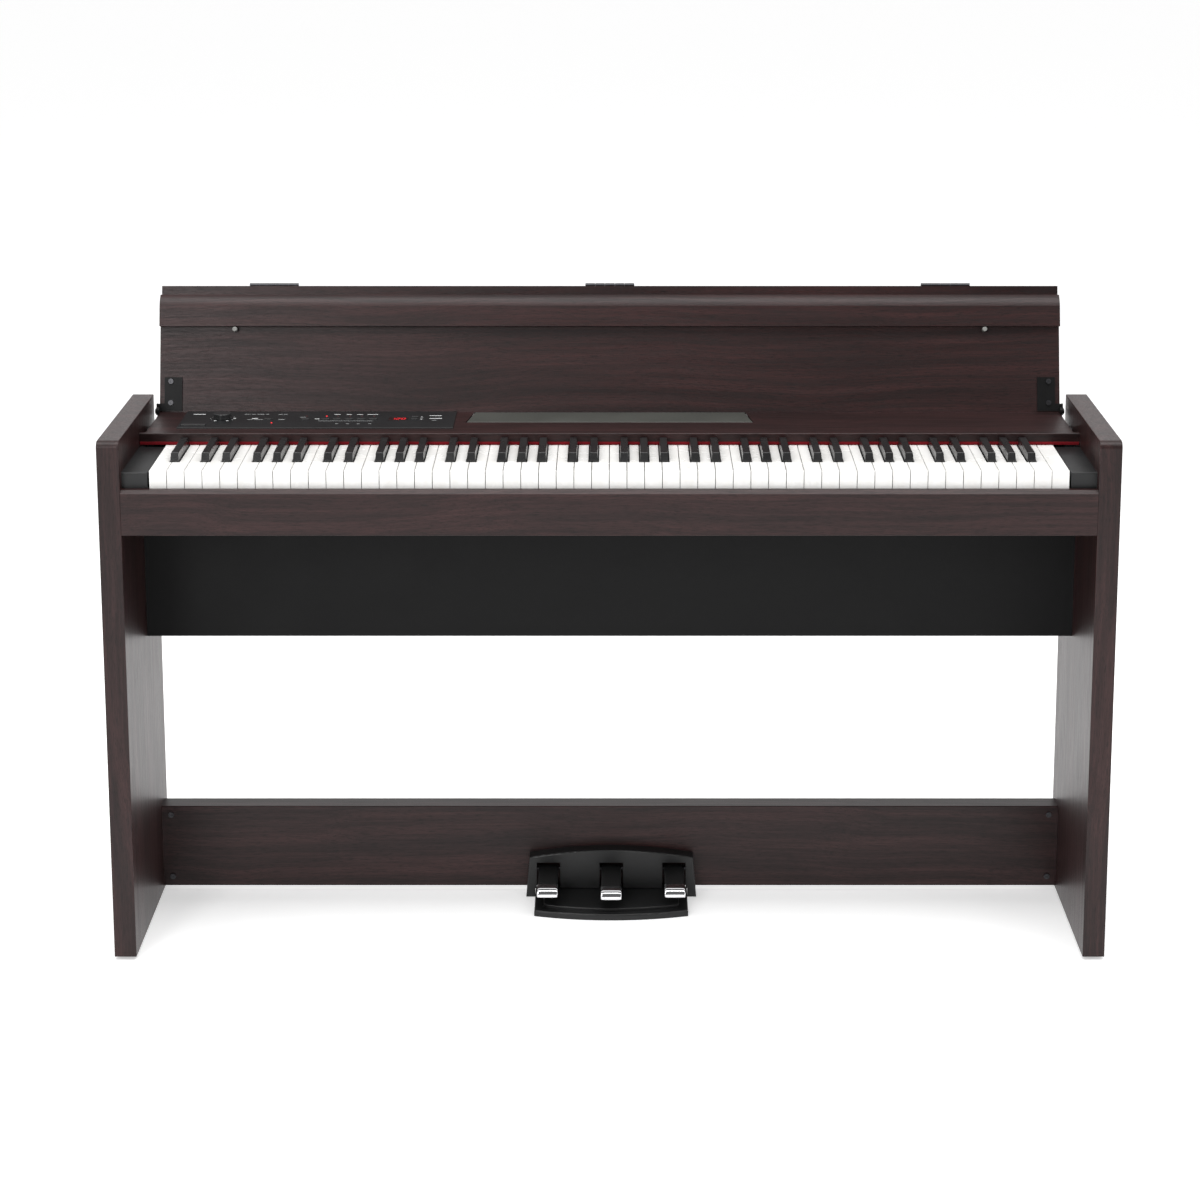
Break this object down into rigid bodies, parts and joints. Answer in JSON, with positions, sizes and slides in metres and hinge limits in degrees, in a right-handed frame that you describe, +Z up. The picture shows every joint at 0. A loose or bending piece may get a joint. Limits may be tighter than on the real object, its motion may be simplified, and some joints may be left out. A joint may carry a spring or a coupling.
{
  "type": "digital piano on stand",
  "caption": "Slim console digital piano: keyboard cabinet between two side panels, folding lid, control strip, music ledge, lower stretcher and pedal unit.",
  "frame": {"origin": "on the floor, under the middle of the object's bounding box", "axes": "+X to the player's right (treble), +Y away from the player, +Z up"},
  "size_m": [1.355, 0.3979, 0.8772],
  "materials": {
    "rosewood": "dark rosewood grain laminate, satin",
    "black_board": "matte black laminate on fibreboard",
    "edge_strip": "dark edge moulding, satin",
    "white_key": "glossy white moulded plastic",
    "black_key": "satin black moulded plastic",
    "felt": "dark red felt",
    "moulding": "fine textured black moulding",
    "key_chassis": "grey structural moulding",
    "cone": "pressed paper cone",
    "circuit_board": "green board",
    "control_strip": "dark printed film, satin",
    "button": "satin black",
    "display": "dark red window",
    "ledge": "dark grey moulding, fine texture",
    "black_steel": "black paint on steel plate",
    "steel": "zinc plated",
    "pedal_plastic": "black moulding, light sheen",
    "pedal_chrome": "chrome toe, black shank",
    "foot": "hard plastic glide",
    "bumper": "grey rubber"
  },
  "bodies": {
    "cabinet": {"side_panel_left": "rosewood", "side_panel_right": "rosewood", "stretcher": "rosewood", "keyslip": "rosewood", "top_panel": "rosewood", "rear_board": "black_board", "keybed": "black_board", "cabinet_ends": "black_board", "cabinet_back_board": "black_board", "key_felt": "felt", "cheek_blocks": "moulding", "felt_rail": "moulding", "headphone_jacks": "moulding", "power_inlet": "moulding", "volume_pot": "moulding", "key_frame": "key_chassis", "speaker_baskets": "key_chassis", "speaker_cones": "cone", "contact_board": "circuit_board", "panel_board": "circuit_board", "main_board": "circuit_board", "control_panel": "control_strip", "display_window": "display", "pivot_brackets": "black_steel", "cabinet_brackets": "steel", "panel_screws": "steel", "pedal_axle": "steel", "pedal_springs": "steel", "pedal_base": "pedal_plastic", "pedal_hood": "pedal_plastic", "glide_feet": "foot"},
    "lid_rear": {"lid_rear_panel": "rosewood", "lid_rail": "rosewood", "lid_edge_strip": "edge_strip", "lid_pivot_ears": "black_steel", "lid_pivot_pins": "steel", "lid_screws": "steel", "lid_bumpers": "bumper", "fold_hinge_rear": "steel", "fold_hinge_pins": "steel"},
    "lid_front": {"lid_front_panel": "rosewood", "fold_hinge_front": "steel"},
    "music_ledge": {"music_ledge": "ledge"},
    "volume_knob": {"volume_knob": "button"},
    "power_button": {"power_button": "button"},
    "song_button": {"song_button": "button"},
    "function_button": {"function_button": "button"},
    "tone_buttons": {"tone_buttons": "button"},
    "up_button": {"up_button": "button"},
    "down_button": {"down_button": "button"},
    "key_c4": {"key_c4": "white_key"},
    "key_c_sharp_4": {"key_c_sharp_4": "black_key"},
    "key_d4": {"key_d4": "white_key"},
    "key_d_sharp_4": {"key_d_sharp_4": "black_key"},
    "key_e4": {"key_e4": "white_key"},
    "white_keys": {"white_keys": "white_key"},
    "black_keys": {"black_keys": "black_key"},
    "pedal_left": {"pedal_left": "pedal_chrome"},
    "pedal_middle": {"pedal_middle": "pedal_chrome"},
    "pedal_right": {"pedal_right": "pedal_chrome"}
  },
  "joints": [
    {"name": "lid_hinge", "type": "hinge", "parent": "cabinet", "child": "lid_rear", "pos_m": [0, 0.09597, 0.705], "axis": [-1, 0, 0], "range_deg": [-105, 0]},
    {"name": "lid_fold", "type": "hinge", "parent": "lid_rear", "child": "lid_front", "pos_m": [0, 0.16625, 0.87459], "axis": [-1, 0, 0], "range_deg": [-180, 0]},
    {"name": "ledge_hinge", "type": "hinge", "parent": "cabinet", "child": "music_ledge", "pos_m": [0, 0.04097, 0.7], "axis": [1, 0, 0], "range_deg": [0, 80]},
    {"name": "knob_turn", "type": "hinge", "parent": "cabinet", "child": "volume_knob", "pos_m": [-0.544, 0.05497, 0.707], "axis": [0, 0, 1], "range_deg": [-150, 150]},
    {"name": "power_button_press", "type": "slide", "parent": "cabinet", "child": "power_button", "axis": [0, 0, -1], "range_m": [0, 0.001], "stiffness_N_per_m": 300, "springref_m": -0.001},
    {"name": "song_button_press", "type": "slide", "parent": "cabinet", "child": "song_button", "axis": [0, 0, -1], "range_m": [0, 0.001], "stiffness_N_per_m": 300, "springref_m": -0.001},
    {"name": "function_button_press", "type": "slide", "parent": "cabinet", "child": "function_button", "axis": [0, 0, -1], "range_m": [0, 0.001], "stiffness_N_per_m": 300, "springref_m": -0.001},
    {"name": "tone_button_press", "type": "slide", "parent": "cabinet", "child": "tone_buttons", "axis": [0, 0, -1], "range_m": [0, 0.001], "stiffness_N_per_m": 300, "springref_m": -0.001},
    {"name": "up_button_press", "type": "slide", "parent": "cabinet", "child": "up_button", "axis": [0, 0, -1], "range_m": [0, 0.001], "stiffness_N_per_m": 300, "springref_m": -0.001},
    {"name": "down_button_press", "type": "slide", "parent": "cabinet", "child": "down_button", "axis": [0, 0, -1], "range_m": [0, 0.001], "stiffness_N_per_m": 300, "springref_m": -0.001},
    {"name": "key_c4_press", "type": "hinge", "parent": "cabinet", "child": "key_c4", "pos_m": [-0.05875, 0.03897, 0.67], "axis": [1, 0, 0], "range_deg": [0, 2.6], "stiffness_Nm_per_rad": 1.5, "springref_deg": -5.73},
    {"name": "key_c_sharp_4_press", "type": "hinge", "parent": "cabinet", "child": "key_c_sharp_4", "pos_m": [-0.04935, 0.03897, 0.67], "axis": [1, 0, 0], "range_deg": [0, 3], "stiffness_Nm_per_rad": 1.5, "springref_deg": -5.73},
    {"name": "key_d4_press", "type": "hinge", "parent": "cabinet", "child": "key_d4", "pos_m": [-0.03525, 0.03897, 0.67], "axis": [1, 0, 0], "range_deg": [0, 2.6], "stiffness_Nm_per_rad": 1.5, "springref_deg": -5.73},
    {"name": "key_d_sharp_4_press", "type": "hinge", "parent": "cabinet", "child": "key_d_sharp_4", "pos_m": [-0.02115, 0.03897, 0.67], "axis": [1, 0, 0], "range_deg": [0, 3], "stiffness_Nm_per_rad": 1.5, "springref_deg": -5.73},
    {"name": "key_e4_press", "type": "hinge", "parent": "cabinet", "child": "key_e4", "pos_m": [-0.01175, 0.03897, 0.67], "axis": [1, 0, 0], "range_deg": [0, 2.6], "stiffness_Nm_per_rad": 1.5, "springref_deg": -5.73},
    {"name": "white_keys_press", "type": "hinge", "parent": "cabinet", "child": "white_keys", "pos_m": [0, 0.03897, 0.67], "axis": [1, 0, 0], "range_deg": [0, 2.6], "stiffness_Nm_per_rad": 73.5, "springref_deg": -5.73},
    {"name": "black_keys_press", "type": "hinge", "parent": "cabinet", "child": "black_keys", "pos_m": [0, 0.03897, 0.67], "axis": [1, 0, 0], "range_deg": [0, 3], "stiffness_Nm_per_rad": 51, "springref_deg": -5.73},
    {"name": "pedal_left_press", "type": "hinge", "parent": "cabinet", "child": "pedal_left", "pos_m": [-0.0885, 0.03897, 0.041], "axis": [1, 0, 0], "range_deg": [0, 8], "stiffness_Nm_per_rad": 8, "springref_deg": -5.73, "deforming": ["pedal_springs"]},
    {"name": "pedal_middle_press", "type": "hinge", "parent": "cabinet", "child": "pedal_middle", "pos_m": [0.002, 0.03897, 0.041], "axis": [1, 0, 0], "range_deg": [0, 8], "stiffness_Nm_per_rad": 8, "springref_deg": -5.73, "deforming": ["pedal_springs"]},
    {"name": "pedal_right_press", "type": "hinge", "parent": "cabinet", "child": "pedal_right", "pos_m": [0.0925, 0.03897, 0.041], "axis": [1, 0, 0], "range_deg": [0, 8], "stiffness_Nm_per_rad": 8, "springref_deg": -5.73, "deforming": ["pedal_springs"]}
  ]
}
